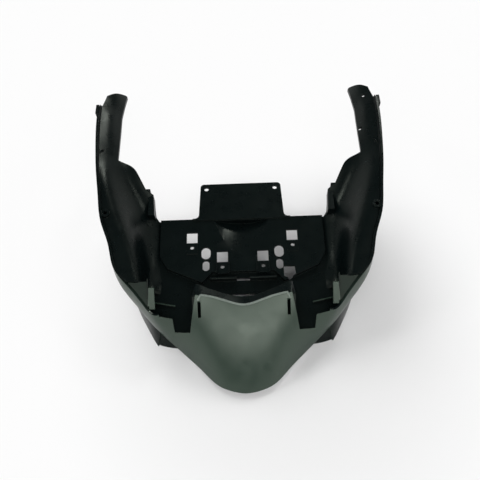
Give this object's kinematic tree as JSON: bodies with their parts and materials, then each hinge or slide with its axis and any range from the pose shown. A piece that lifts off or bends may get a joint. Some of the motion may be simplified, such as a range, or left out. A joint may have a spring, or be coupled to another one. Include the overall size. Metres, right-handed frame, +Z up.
{
  "type": "tail light panel",
  "caption": "One-piece moulded scooter tail panel: rounded chin, side arms around an open gap, and a sloping lamp plate with windows, bulb openings, a scoop and a screw tab.",
  "frame": {"origin": "middle of the bounding box, at its bottom", "axes": "+X to the right arm, +Y from the chin's nose back to the arm ends, +Z up"},
  "size_m": [0.31, 0.333, 0.0903],
  "materials": {
    "black_plastic": "unpainted black moulded plastic, satin outside and fine-grained inside"
  },
  "bodies": {
    "root": {"tail_light_panel": "black_plastic"}
  },
  "joints": []
}
